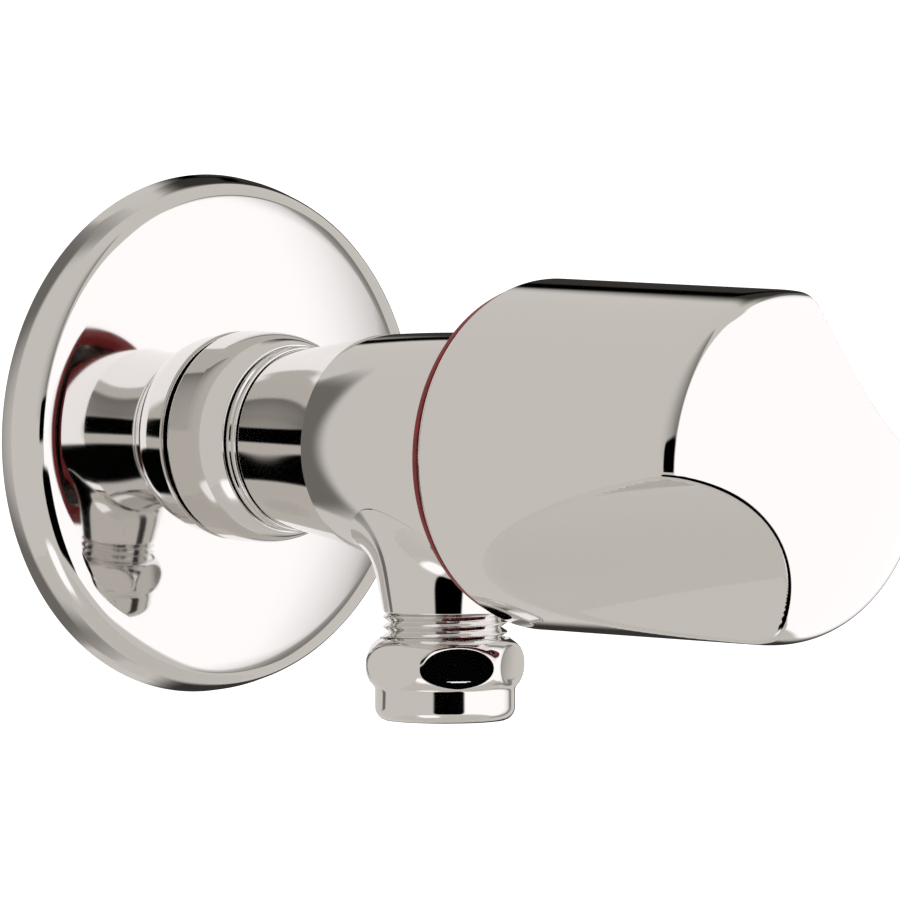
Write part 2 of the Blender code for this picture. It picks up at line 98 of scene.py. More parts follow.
# %% Grid surfaces
def grid_faces(rows, columns, closed):
    """Quads of a grid whose columns wrap round, and whose rows wrap round too when it is closed."""
    row = np.arange(rows if closed else rows - 1)
    column = np.arange(columns)
    r, c = np.meshgrid(row, column, indexing="ij")
    below, beside = (r + 1) % rows, (c + 1) % columns
    corners = [r * columns + c, r * columns + beside, below * columns + beside, below * columns + c]
    return np.stack(corners, axis=-1).reshape(-1, 4)


def signed_volume(points, faces):
    """Six times the volume that the quads enclose, positive when they point outwards."""
    a, b, c, d = (points[faces[:, i]] for i in range(4))
    return np.sum(np.cross(b - a, c - a) * a) + np.sum(np.cross(c - a, d - a) * a)


def surface(name, points, normals, closed=True):
    """A closed smooth mesh from rows by columns of points and normals in millimetres."""
    rows, columns, _ = points.shape
    flat = points.reshape(-1, 3)
    faces = grid_faces(rows, columns, closed)
    if signed_volume(flat, faces) < 0:
        faces = faces[:, ::-1]
    index = np.arange(rows * columns)
    if not closed:
        index[:columns] = 0
        index[-columns:] = (rows - 1) * columns
    keep, place = np.unique(index, return_inverse=True)
    faces = place[faces]
    mesh = bpy.data.meshes.new(name)
    mesh.from_pydata(flat[keep] * MM, [], faces_without_doubles(faces))
    mesh.shade_smooth()
    mesh.normals_split_custom_set_from_vertices(normals.reshape(-1, 3)[keep])
    piece = bpy.data.objects.new(name, mesh)
    bpy.context.scene.collection.objects.link(piece)
    print(f"{name}: {len(mesh.vertices)} points, {len(mesh.polygons)} faces")
    return piece


def faces_without_doubles(faces):
    """The quads as lists, with the ones that touch a pole turned into triangles."""
    same = faces == np.roll(faces, 1, axis=1)
    whole = faces[~same.any(axis=1)].tolist()
    fans = faces[same.any(axis=1)]
    return whole + fans[~same[same.any(axis=1)]].reshape(-1, 3).tolist()


# %% [markdown]
# ## Outlines with rounded corners
#
# A lathe leaves no perfectly sharp corner, and polishing before plating rounds it further. So an outline is
# listed as corners with a radius each, and every corner becomes an arc whose points know their exact
# normal. A radius of None marks a point of a smooth curve, whose normal is the mean of its two sides.


# %% Rounded outlines and turned pieces
ARC_STEPS = 7
FINE_RADIUS = 0.15  # for a corner that gives none


def rounded(corners, is_open=False):
    """Points and outward normals of an outline that runs down its outer side.

    An open outline's first and last corners only give the directions of its ends.
    """
    places = np.array([corner[:2] for corner in corners], float)
    before = places - np.roll(places, 1, axis=0)
    after = np.roll(places, -1, axis=0) - places
    before /= np.linalg.norm(before, axis=1)[:, None]
    after /= np.linalg.norm(after, axis=1)[:, None]
    points, normals = [], []
    for place, way_in, way_out, corner in zip(places, before, after, corners):
        radius = corner[2] if len(corner) > 2 else FINE_RADIUS
        if radius is None:
            middle = (way_in + way_out) / np.linalg.norm(way_in + way_out)
            points.append(place[None])
            normals.append(np.array([[-middle[1], middle[0]]]))
            continue
        cross = way_in[0] * way_out[1] - way_in[1] * way_out[0]
        bend = np.arctan2(cross, way_in @ way_out)
        start = np.array([-way_in[1], way_in[0]])
        side = -np.sign(bend)
        centre = place - way_in * radius * np.tan(abs(bend) / 2) - start * radius * side
        turn = np.linspace(0, bend, ARC_STEPS)
        spun = np.stack([start[0] * np.cos(turn) - start[1] * np.sin(turn),
                         start[0] * np.sin(turn) + start[1] * np.cos(turn)], axis=1)
        points.append(centre + side * radius * spun)
        normals.append(spun)
    if is_open:
        points, normals = points[1:-1], normals[1:-1]
    return np.concatenate(points), np.concatenate(normals)


def revolve(outline, axis, angle):
    """An outline's points and normals carried round the axis, as rows by columns."""
    points, normals = outline
    radius, turn = np.meshgrid(points[:, 0], angle, indexing="ij")
    along = np.broadcast_to(points[:, 1:], radius.shape)
    across = np.broadcast_to(normals[:, :1], radius.shape)
    rise = np.broadcast_to(normals[:, 1:], radius.shape)
    return axis.place(radius, along, turn), axis.turn(across, rise, turn)


def full_turn(columns):
    return np.linspace(0, 2 * np.pi, columns, endpoint=False)


def turned(name, corners, axis=VALVE, columns=288):
    """A ring turned about the axis: the outline's radius and height, carried round by the angle."""
    return surface(name, *revolve(rounded(corners), axis, full_turn(columns)))


def curve(way, start, end, count):
    """Corner rows for a smooth stretch: the curve's radius at evenly spaced heights."""
    heights = np.linspace(start, end, count)
    return [(float(way(height)), float(height), None) for height in heights]


# %% [markdown]
# ## The wall flange
#
# A disc pressed from thin brass sheet hides the hole in the tiles. Its face is a very shallow dome, which
# is why it shows a bent mirror image of the valve, and its edge turns over a tight shoulder into a rim
# with a little draft, so that the press can let it go.

# %% Wall flange
FLANGE_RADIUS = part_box("wall_flange")[1].x / MM
FLANGE_HOLE = 11.0
SHEET = 1.2
DOME_RADIUS = 170.0
DOME_APEX = 9.6
SHOULDER = 31.0


def dome(radius):
    """Height of the flange's face: the apex minus the drop of a large sphere."""
    return DOME_APEX - (DOME_RADIUS - np.sqrt(DOME_RADIUS**2 - radius**2))


def flange_outline():
    """The hole's edge, the domed face, the shoulder and rim, then the same again from behind."""
    radii = np.linspace(FLANGE_HOLE + 0.8, SHOULDER, 24)
    face = [(r, dome(r), None) for r in radii]
    rim = [(33.75, 5.9, 3.2), (34.8, 2.2, 6.0), (FLANGE_RADIUS, 0.0, 0.2)]
    inside = [(FLANGE_RADIUS - SHEET, 0.0, 0.2), (32.9, 4.4, 1.0)]
    back = [(r, dome(r) - SHEET, None) for r in radii[::-1]]
    edge = dome(FLANGE_HOLE)
    return [(FLANGE_HOLE, edge, 0.3), *face, *rim, *inside, *back, (FLANGE_HOLE, edge - SHEET, 0.2)]


flange = turned("wall_flange_pressing", flange_outline(), columns=384)
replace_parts(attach(flange, "valve"), "wall_flange")

# %% [markdown]
# ## The lock collar and its ring
#
# The collar screws down the inlet thread onto the flange. It has a plain band for the grip, then a taper
# that leads the eye to the slimmer body, and a thin grooved ring closes the gap.

# %% Collar and ring
INLET_THREAD = 10.4
COLLAR_RADIUS, COLLAR_BACK, COLLAR_BEND, COLLAR_FRONT = 14.25, 9.6, 13.8, 19.6
TAPER_RUN, TAPER_DROP = 6.6, 3.0  # half axes of the ellipse that shapes the collar's front
RING_RADIUS, RING_FRONT = 12.5, 21.7


def collar_taper(height):
    """Radius of the collar's front: most of an ellipse's quarter, full at the bend and slimmer in front."""
    run = np.clip((height - COLLAR_BEND) / TAPER_RUN, 0, 1)
    return COLLAR_RADIUS - TAPER_DROP * (1 - np.sqrt(1 - run**2))


collar_bore = INLET_THREAD + 0.35
collar = turned("lock_collar_turning", [
    (collar_bore, COLLAR_FRONT),
    (float(collar_taper(COLLAR_FRONT)), COLLAR_FRONT, 0.25),
    *curve(collar_taper, 19.2, 14.4, 10),
    (COLLAR_RADIUS, COLLAR_BEND, 0.3),
    (COLLAR_RADIUS, COLLAR_BACK, 0.45),
    (collar_bore, COLLAR_BACK),
])
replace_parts(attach(collar, "valve"), "lock_collar")

ring = turned("spacer_ring_turning", [
    (collar_bore, RING_FRONT),
    (RING_RADIUS, RING_FRONT, 0.3),
    (RING_RADIUS, 21.05, 0.1),
    (RING_RADIUS - 0.35, 20.8, 0.1),
    (RING_RADIUS, 20.55, 0.1),
    (RING_RADIUS, 19.9, 0.3),
    (collar_bore, 19.9),
])
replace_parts(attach(ring, "valve"), "spacer_ring")

# %% [markdown]
# ## The body
#
# The body is forged as one piece of brass, turned and polished. From the shoulder it flares as a trumpet to
# a fine edge, then goes on as a barrel that swells slightly towards the knob. It is turned here as a
# closed ring with its bores, and the outlet is added as a surface of its own.

# %% Body shell
BODY_SHOULDER, BODY_EDGE, BODY_FRONT = 22.0, 38.0, 74.0
SHOULDER_RADIUS, EDGE_RADIUS, BARREL_RADIUS = 12.2, 14.65, 15.65
BARREL_RISE = 26.0  # length over which the barrel reaches its full radius


def flare(height):
    """Radius between the shoulder and the edge: a cone, plus a cube of the run that bends it outwards."""
    run = (height - BODY_SHOULDER) / (BODY_EDGE - BODY_SHOULDER)
    return SHOULDER_RADIUS + 2.0 * run + 0.45 * run**3


def barrel(height):
    """Radius in front of the edge: it rises as a parabola and then stays level."""
    run = np.clip((height - BODY_EDGE) / BARREL_RISE, 0, 1)
    return EDGE_RADIUS + (BARREL_RADIUS - EDGE_RADIUS) * (1 - (1 - run) ** 2)


body = turned("valve_body_shell", [
    (10.75, BODY_FRONT),
    (BARREL_RADIUS, BODY_FRONT, 0.5),
    *curve(barrel, BODY_FRONT - 4, BODY_EDGE + 0.8, 40),
    (EDGE_RADIUS, BODY_EDGE, 0.12),
    *curve(flare, BODY_EDGE - 0.8, BODY_SHOULDER + 0.8, 24),
    (SHOULDER_RADIUS, BODY_SHOULDER, 0.3),
    (INLET_THREAD, BODY_SHOULDER),
    (INLET_THREAD, 7.0),
    (6.0, 7.0),
    (6.0, 41.0),
    (5.0, 42.0),
    (5.0, 47.3),
    (6.4, 47.3),
    (6.4, 46.0),
    (9.6, 46.0),
    (9.6, 60.0),
    (10.75, 60.0),
], columns=384)
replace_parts(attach(body, "valve"), "valve_body")

# %% [markdown]
# ## Screw threads
#
# A thread is a tube whose radius waves with the height and shifts by one pitch every turn. Pipe threads
# have rounded crests and roots, which a sine pushed towards a triangle gives. The wave fades out where the
# thread runs into plain metal.


# %% Threads
SHARPNESS = 0.93  # 0 is a sine, 1 is a triangle
ROW_STEP = 0.07
MOUTH_DEPTH = 2.2


def thread_wave(height, angle, pitch):
    """From -1 in the root to 1 on the crest: a rounded triangle wave along a right-hand helix."""
    phase = 2 * np.pi * height / pitch - angle
    return np.arcsin(SHARPNESS * np.sin(phase)) / np.arcsin(SHARPNESS)


def threaded_tube(name, axis, start, end, crest, depth, pitch, bore, mouth):
    """A tube with a male thread, faded over half a pitch at both ends, and a bore that opens to a mouth."""
    columns = 256
    heights = np.linspace(start, end, int(abs(end - start) / ROW_STEP))
    angle = full_turn(columns)
    height, turn = np.meshgrid(heights, angle, indexing="ij")

    def radius(at, around):
        edge = np.minimum(abs(at - start), abs(end - at)) / (0.5 * pitch)
        fade = np.clip(edge, 0, 1) ** 2 * (3 - 2 * np.clip(edge, 0, 1))
        return crest - depth / 2 + depth / 2 * (thread_wave(at, around, pitch) * fade - (1 - fade))

    step = 1e-4
    wide = radius(height, turn)
    climb = (radius(height + step, turn) - radius(height - step, turn)) / (2 * step)
    swing = (radius(height, turn + step) - radius(height, turn - step)) / (2 * step) / wide
    side = axis.turn(np.ones_like(turn), np.zeros_like(turn), turn + np.pi / 2)
    normal = axis.turn(np.ones_like(turn), -climb, turn) - swing[..., None] * side
    normal /= np.linalg.norm(normal, axis=-1, keepdims=True)
    points = axis.place(wide, height, turn)
    inner = np.array([[mouth], [bore], [bore]]) * np.ones((3, columns))
    levels = np.array([[end], [end - MOUTH_DEPTH], [start]]) * np.ones((3, columns))
    around = np.broadcast_to(angle, (3, columns))
    inside = axis.place(inner, levels, around)
    inward = axis.turn(-np.ones_like(inner), np.zeros_like(inner), around)
    return surface(name, np.concatenate([points, inside]), np.concatenate([normal, inward]))


THREAD_START = 21.7
OUTLET_THREAD = 8.33
outlet_thread = threaded_tube("outlet_thread_g38", OUTLET, start=THREAD_START - 0.2, end=30.5,
                              crest=OUTLET_THREAD, depth=0.86, pitch=1.337, bore=5.15, mouth=6.34)
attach(outlet_thread, "valve")
inlet_thread = threaded_tube("inlet_thread_g12", VALVE, start=-14.0, end=7.2,
                             crest=INLET_THREAD, depth=1.1, pitch=1.814, bore=6.0, mouth=6.0)
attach(inlet_thread, "valve")

# %% [markdown]
# ## The outlet neck
#
# Where the branch leaves the barrel the forging blends from one tube into the other. The blend is found and
# not drawn: both tubes are written as distances, a smooth minimum joins them, and from one point inside,
# rays search for the place where the joined distance is zero.


# %% Smooth joins and ray search
HALVINGS = 34


def smooth_min(a, b, reach):
    """The smaller of two distances, eased by a cubic where they differ by less than the reach."""
    near = np.clip(reach - abs(a - b), 0, None) / reach
    return np.minimum(a, b) - near**3 * reach / 6


def round_max(a, b, radius):
    """The larger of two distances, with the corner between them rounded to the radius."""
    corner = np.hypot(np.clip(a + radius, 0, None), np.clip(b + radius, 0, None))
    return np.minimum(np.maximum(a, b), -radius) + corner


def find_surface(field, origin, direction, far):
    """The point of each ray where the field turns from negative to positive, found by halving."""
    low = np.zeros(direction.shape[:-1])
    high = np.full(direction.shape[:-1], float(far))
    for _ in range(HALVINGS):
        middle = (low + high) / 2
        inside = field(origin + middle[..., None] * direction) < 0
        low = np.where(inside, middle, low)
        high = np.where(inside, high, middle)
    return origin + ((low + high) / 2)[..., None] * direction


def field_normals(field, points, step=1e-3):
    """The field's slope in each direction, scaled to length one."""
    shifts = np.eye(3) * step
    slope = np.stack([field(points + shift) - field(points - shift) for shift in shifts], axis=-1)
    return slope / np.linalg.norm(slope, axis=-1, keepdims=True)


# %% [markdown]
# The neck is one patch of that joined skin. Its rays aim at places between an oval on the barrel and the
# circle where the thread begins. Towards the body's edge there is little room, so the blend is tighter there.

# %% Outlet neck
SINK = 0.004  # the neck's rim lies this far under the barrel's skin
NECK_TAPER = 0.2
NECK_BLEND = 4.6  # how near the two shapes are when they begin to ease into each other
NECK_FROM = np.array([0.0, -OUTLET_AT, -5.0])
RIM_SIDE, RIM_BACK, RIM_FRONT = 13.2, 12.1, 14.0  # half sizes of the oval where the neck leaves the barrel
RIM_RADIUS = 15.3  # distance of that oval from the valve's axis
NECK_BORE = 4.0


def neck_field(points):
    """Distance to the barrel joined smoothly with the neck's slim cone, in millimetres."""
    x, y, z = points[..., 0], points[..., 1], points[..., 2]
    tube = np.hypot(x, z) - (barrel(-y) - SINK)
    across = np.hypot(x, y + OUTLET_AT)
    cone = (across - (OUTLET_THREAD + NECK_TAPER * (THREAD_START + z))) / np.hypot(1, NECK_TAPER)
    reach = NECK_BLEND * np.clip((-y - BODY_EDGE) / 4.0, 0.05, 1)
    return smooth_min(tube, cone, reach)


angle = full_turn(320)
x = RIM_SIDE * np.cos(angle)
y = -OUTLET_AT - np.where(np.sin(angle) < 0, RIM_BACK, RIM_FRONT) * np.sin(angle)
rim = np.stack([x, y, -np.sqrt(RIM_RADIUS**2 - x**2)], axis=-1)
foot = OUTLET.place(np.full_like(angle, OUTLET_THREAD), np.full_like(angle, THREAD_START), angle)
mix = np.linspace(0, 1, 130)[:, None, None]
rays = (1 - mix) * rim + mix * foot - NECK_FROM
rays /= np.linalg.norm(rays, axis=-1, keepdims=True)
skin = find_surface(neck_field, NECK_FROM, rays, far=40)
inner_outline = rounded([
    (OUTLET_THREAD, THREAD_START, None),
    (8.0, THREAD_START + 0.3, None),
    (NECK_BORE, THREAD_START + 0.3, None),
    (NECK_BORE, 10.5, None),
    (9.0, 10.0, None),
], is_open=True)
hidden = revolve((inner_outline[0], -inner_outline[1]), OUTLET, angle)
neck = surface(
    "outlet_neck_forging",
    np.concatenate([skin, hidden[0]]),
    np.concatenate([field_normals(neck_field, skin), hidden[1]]),
)
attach(neck, "valve")

# %% [markdown]
# ## The knob
#
# The knob is a hollow casting, polished and plated. Its shape is a cylinder with a domed nose, and two long
# scoops for finger and thumb that sink deeper towards the nose. Each solid is a distance again: the larger
# of cylinder and dome, cut by a round bar whose middle line sinks, with every corner rounded. Rays from
# points along the axis search for the skin.

# %% Knob shape
knob_low, knob_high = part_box("handle")
KNOB_BACK = -knob_high.y / MM
KNOB_LENGTH = (knob_high.y - knob_low.y) / MM
KNOB_RADIUS = knob_high.z / MM
DOME = 38.0
NOSE_BLEND = 4.2
SCOOP_TURNS = np.radians([131.0, 311.0])
SCOOP_ARC = 1.15 * KNOB_RADIUS
SCOOP_START = 0.423  # in knob radii from the back
EDGE_ROUND = 0.55


def scoop_depth(along):
    """Depth of a scoop's middle line in knob radii: steeper at its start than at the nose."""
    run = along / KNOB_RADIUS - SCOOP_START
    return 0.291 * run - 0.0305 * run**2 + 0.04 * (1 - np.exp(-np.maximum(run, -0.3) / 0.71))


def knob_field(points):
    """Distance to the knob's skin, for points as up, left and distance from the knob's back."""
    up, left, along = points[..., 0], points[..., 1], points[..., 2]
    radius = np.hypot(up, left)
    centre = KNOB_LENGTH - DOME
    solid = -smooth_min(KNOB_RADIUS - radius, DOME - np.hypot(radius, along - centre), NOSE_BLEND)
    for turn in SCOOP_TURNS:
        towards = up * np.cos(turn) + left * np.sin(turn)
        beside = left * np.cos(turn) - up * np.sin(turn)
        middle = KNOB_RADIUS * (1 - scoop_depth(along)) + SCOOP_ARC
        bar = SCOOP_ARC - np.hypot(towards - middle, beside)
        solid = round_max(solid, bar, EDGE_ROUND)
    return solid


# %% [markdown]
# The rays start from one point for the nose, so that the rows meet in a pole, and then walk back along the
# axis for the side. Inside, the knob is a stepped hollow, which is plain turning again.

# %% Knob surface
NOSE_FROM, SKIRT_FROM = 30.0, 6.0
NOSE_ROWS, SIDE_ROWS = 120, 66
tilt = np.concatenate([np.linspace(0, np.pi / 2, NOSE_ROWS), np.full(SIDE_ROWS, np.pi / 2)])
start = np.concatenate([np.full(NOSE_ROWS, NOSE_FROM), np.linspace(NOSE_FROM, SKIRT_FROM, SIDE_ROWS + 1)[1:]])
angle = full_turn(400)
tilts, turn = np.meshgrid(tilt, angle, indexing="ij")
rays = np.stack([np.sin(tilts) * np.cos(turn), np.sin(tilts) * np.sin(turn), np.cos(tilts)], axis=-1)
origins = np.zeros_like(rays)
origins[..., 2] = start[:, None]
outside = find_surface(knob_field, origins, rays, far=60)
hollow = rounded([
    (KNOB_RADIUS, KNOB_BACK + SKIRT_FROM, None),
    (KNOB_RADIUS, KNOB_BACK, 1.3),
    (20.4, KNOB_BACK, 0.3),
    (20.4, KNOB_BACK + 6.0, 1.0),
    (13.6, KNOB_BACK + 25.0, 1.0),
    (9.4, KNOB_BACK + 27.0, 0.3),
    (9.4, KNOB_BACK + 41.0, 0.3),
    (0.0, KNOB_BACK + 41.0, None),
    (-1.0, KNOB_BACK + 41.0, None),
], is_open=True)
hidden = revolve(hollow, VALVE, angle)
knob = surface(
    "knob_casting",
    np.concatenate([VALVE.direction * KNOB_BACK + VALVE.from_local(outside), hidden[0]]),
    np.concatenate([VALVE.from_local(field_normals(knob_field, outside)), hidden[1]]),
    closed=False,
)
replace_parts(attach(knob, "knob"), "handle")

# %% [markdown]
# ## The red ring
#
# A moulded ring in dark red closes the knob's back and marks the hot line. Only its edge shows.

# %% Hot ring
hot_ring = turned("hot_ring_moulding", [
    (18.9, 73.4),
    (20.1, 73.4, 0.2),
    (20.1, 70.7, 0.1),
    (22.6, 70.7, 0.2),
    (22.6, 69.6, 0.5),
    (20.6, 69.6, 0.3),
    (18.9, 70.5, 0.2),
], columns=256)
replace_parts(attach(hot_ring, "knob"), "hot_ring")

# %% [markdown]
# ## The compression nut
#
# The nut starts as a hexagonal bar and is turned to a barrel shape, so each flat ends in an oval. Its
# radius at any height and angle is a distance again: six planes rounded where they meet, and the turned
# barrel. Rays that start in the metal, level with the barrel's centre of curvature, find the skin. The collar
# and bores are plain turning.

# %% Compression nut
ACROSS_FLATS = 19.0
NUT_TOP, NUT_END = 25.4, 36.4
SKIN_TOP, SKIN_END = 25.55, 34.3
CROWN_AT, CROWN_ROUND, WIDEST = 28.9, 3.8, 10.8
CROWN_CENTRE = WIDEST - CROWN_ROUND
NUT_COLLAR = 9.35
NUT_BORE, TUBE_HOLE = 8.65, 5.3


def nut_field(points):
    """Distance to the nut's outside, for points as two directions across and the depth."""
    radius = np.hypot(points[..., 0], points[..., 1])
    depth = points[..., 2]
    turn = np.arctan2(points[..., 1], points[..., 0])
    flat_turn = (turn + np.pi / 6) % (np.pi / 3) - np.pi / 6
    planes = radius * np.cos(flat_turn) - ACROSS_FLATS / 2
    crown = np.hypot(radius - CROWN_CENTRE, depth - CROWN_AT) - CROWN_ROUND
    collar = np.maximum(radius - NUT_COLLAR, 31.0 - depth)
    return smooth_min(round_max(planes, crown, 0.2), collar, 0.5)


angle = full_turn(432)
depth, turn = np.meshgrid(np.linspace(SKIN_END, SKIN_TOP, 130), angle, indexing="ij")
rays = np.stack([np.cos(turn), np.sin(turn), np.zeros_like(turn)], axis=-1)
origins = np.stack([CROWN_CENTRE * np.cos(turn), CROWN_CENTRE * np.sin(turn), depth], axis=-1)
skin = find_surface(nut_field, origins, rays, far=13)
inside = rounded([
    (8.8, SKIN_TOP, None),
    (8.72, NUT_TOP, None),
    (NUT_BORE, NUT_TOP + 0.1, None),
    (NUT_BORE, 31.8, 0.1),
    (7.2, 33.0, 0.1),
    (TUBE_HOLE, 34.8, 0.1),
    (TUBE_HOLE, NUT_END, 0.35),
    (NUT_COLLAR, NUT_END, 1.8),
    (NUT_COLLAR, SKIN_END, None),
], is_open=True)
hidden = revolve(inside, OUTLET, angle)
nut = surface(
    "outlet_nut_turning",
    np.concatenate([OUTLET.origin + OUTLET.from_local(skin), hidden[0]]),
    np.concatenate([OUTLET.from_local(field_normals(nut_field, skin)), hidden[1]]),
)
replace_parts(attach(nut, "outlet_nut"), "outlet_nut")

# %% [markdown]
# ## Colours and a node helper
#
# Finishes are chosen as sRGB hex values, the way a colour chart gives them, and turned to linear light once.
# One small function adds a node and links its inputs, so that each material reads as a short recipe.


# %% Material helpers
def linear(hex_colour):
    """An sRGB hex colour as linear light with full alpha."""
    values = np.array([int(hex_colour[i:i + 2], 16) for i in (1, 3, 5)]) / 255
    low = values <= 0.04045
    light = np.where(low, values / 12.92, ((values + 0.055) / 1.055) ** 2.4)
    return (*light.tolist(), 1.0)


def new_material(name):
    material = bpy.data.materials.new(name)
    material.use_nodes = True
    return material, material.node_tree, material.node_tree.nodes["Principled BSDF"]


def add(tree, kind, settings=None, **inputs):
    """Adds a node, sets its settings, and sets or links its inputs by name (underscores for spaces)."""
    node = tree.nodes.new(kind)
    for key, value in (settings or {}).items():
        setattr(node, key, value)
    for key, value in inputs.items():
        socket = node.inputs[int(key[1:])] if key[1:].isdigit() else node.inputs[key.replace("_", " ")]
        if isinstance(value, bpy.types.NodeSocket):
            tree.links.new(value, socket)
        else:
            socket.default_value = value
    return node


def per_mm(count_per_mm):
    """Texture scale for object coordinates in metres: features for each millimetre."""
    return count_per_mm / MM


def spread(tree, value, low, high):
    """Maps a noise value of about 0.3 to 0.7 onto the range low to high."""
    return add(tree, "ShaderNodeMapRange", {"clamp": True}, Value=value, From_Min=0.3, From_Max=0.7,
               To_Min=low, To_Max=high).outputs["Result"]


def noise(tree, scale, detail=2.0):
    """Soft clouds fixed to the object, with a value about 0.5."""
    where = add(tree, "ShaderNodeTexCoord").outputs["Object"]
    return add(tree, "ShaderNodeTexNoise", Vector=where, Scale=scale, Detail=detail).outputs["Fac"]


def bump(tree, shader, height, depth_mm):
    """Raises the surface by the height times a depth in millimetres."""
    node = add(tree, "ShaderNodeBump", Height=height, Distance=depth_mm * MM, Strength=1.0)
    tree.links.new(node.outputs["Normal"], shader.inputs["Normal"])


def two_tones(tree, shader, tone, light, dark):
    """Colours the shader from light to dark as the tone goes from 0 to 1."""
    mixed = add(tree, "ShaderNodeMix", {"data_type": "RGBA"}, Factor=tone, _6=linear(light), _7=linear(dark))
    tree.links.new(mixed.outputs[2], shader.inputs["Base Color"])


# %% [markdown]
# ## Chrome plate
#
# Decorative chrome is a few tenths of a micron of chromium over bright nickel. To the eye it is a slightly
# cool mirror. What keeps it from looking like a perfect mirror is the polishing under it: a faint waviness
# a few millimetres across, and a haze that comes and goes where hands and cloths have been.

# %% Chrome-plated brass
chrome, tree, shader = new_material("chrome_plated_brass")
shader.inputs["Base Color"].default_value = linear("#E4E2E0")
shader.inputs["Metallic"].default_value = 1.0
haze = noise(tree, per_mm(0.06), 3.0)
tree.links.new(spread(tree, haze, 0.03, 0.06), shader.inputs["Roughness"])
waviness = noise(tree, per_mm(0.12), 1.0)
bump(tree, shader, waviness, 0.004)

# %% [markdown]
# ## Turned brass
#
# Bare brass off the lathe is warm yellow, and the tool leaves very fine rings round it, closer together
# than the eye can part. They widen the highlight, so a fine noise stands for them, with a slow variation
# in tone where the metal has begun to dull.

# %% Turned brass
brass, tree, shader = new_material("turned_brass")
two_tones(tree, shader, spread(tree, noise(tree, per_mm(0.2), 4.0), 0, 1), "#C79A4B", "#A97F3A")
shader.inputs["Metallic"].default_value = 1.0
tree.links.new(spread(tree, noise(tree, per_mm(2.0)), 0.22, 0.36), shader.inputs["Roughness"])
bump(tree, shader, noise(tree, per_mm(6.0)), 0.01)

# %% [markdown]
# ## The small finishes
#
# The pieces inside are steel, rubber, fibre and plastics. Each gets its own colour, gloss and grain, so that
# a cutaway or an exploded view of the valve reads as well as its outside.


# %% Small finishes
def plain_finish(name, light, dark, gloss, rough, grain_per_mm, grain_mm, metallic=0.0):
    """Two close tones mixed by a noise, a roughness range, and a grain of the given depth."""
    material, tree, shader = new_material(name)
    tone = spread(tree, noise(tree, per_mm(grain_per_mm / 4), 3.0), 0, 1)
    two_tones(tree, shader, tone, light, dark)
    shader.inputs["Metallic"].default_value = metallic
    grain = noise(tree, per_mm(grain_per_mm))
    tree.links.new(spread(tree, grain, gloss, rough), shader.inputs["Roughness"])
    bump(tree, shader, grain, grain_mm)
    return material


red_plastic = plain_finish("red_plastic", "#8E181D", "#7A1318", 0.28, 0.36, 3.0, 0.01)
steel = plain_finish("stainless_steel", "#B9B7B2", "#A3A19C", 0.25, 0.35, 4.0, 0.005, metallic=1.0)
rubber = plain_finish("nitrile_rubber", "#1C1C1D", "#262627", 0.5, 0.65, 5.0, 0.01)
ptfe = plain_finish("ptfe", "#EDEDE8", "#E2E2DC", 0.4, 0.5, 2.0, 0.01)
fibre = plain_finish("fibre", "#7C3B2A", "#6A2F21", 0.6, 0.75, 8.0, 0.02)
acetal = plain_finish("white_acetal", "#E9E7E1", "#DEDCD5", 0.3, 0.4, 3.0, 0.01)

chromed = [flange, collar, ring, body, neck, outlet_thread, knob, nut]
seals = ["spindle_o_ring_inner", "spindle_o_ring_outer", "plunger_o_ring", "seat_washer"]
FINISHES = {
    "chrome_plate": (chrome, chromed, []),
    "turned_brass": (brass, [inlet_thread], ["bonnet", "spindle", "plunger", "olive"]),
    "stainless_steel": (steel, [], ["spindle_circlip", "washer_screw", "insert_screw"]),
    "nitrile_rubber": (rubber, [], seals),
    "ptfe": (ptfe, [], ["inlet_seal_ring", "thrust_washer"]),
    "fibre": (fibre, [], ["bonnet_seal"]),
    "white_acetal": (acetal, [], ["handle_insert"]),
    "red_plastic": (red_plastic, [hot_ring], []),
}
for slot_name, (material, new_pieces, nodes) in FINISHES.items():
    for piece in new_pieces:
        piece.data.materials.append(material)
    for node in nodes:
        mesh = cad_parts[node].data
        mesh.materials.clear()
        mesh.materials.append(material)

# %% [markdown]
# ## The studio
#
# Chrome has almost no colour of its own: it shows the room. So the room is drawn first, as directions seen
# from the valve. The walls are warm light grey. A large soft box stands to the right, and black cards
# near the camera and behind the valve draw the dark lines along its edges.


# %% Camera
def direction(azimuth, elevation):
    """The way to a place in the room; azimuth 0 is straight in front of the knob and +90 is towards +X."""
    a, e = np.radians(azimuth), np.radians(elevation)
    return np.array([np.sin(a) * np.cos(e), -np.cos(a) * np.cos(e), np.sin(e)])


CAMERA_AZIMUTH, CAMERA_ELEVATION, CAMERA_DISTANCE = -41.0, 3.0, 2.4
centre = np.array([0.0, -0.0515, -0.00027])
lens = bpy.data.cameras.new("main_camera")
lens.lens, lens.sensor_width = 720, 36
lens.clip_end = 20
camera = bpy.data.objects.new("main_camera", lens)
bpy.context.scene.collection.objects.link(camera)
to_camera = direction(CAMERA_AZIMUTH, CAMERA_ELEVATION)
camera.location = centre + CAMERA_DISTANCE * to_camera
camera.rotation_euler = Vector(to_camera).to_track_quat("Z", "Y").to_euler()
bpy.context.scene.camera = camera
bpy.context.scene.view_settings.view_transform = "Standard"


# %% [markdown]
# A card could be a flat plane, but a range of azimuth and elevation is easier to think in when every
# reflection is a direction. Each card fades at its border, because a real soft box does. Those around the
# knob stand close, as a tent of diffuser cloth does, so the collar and nut see past its edge into the dark.

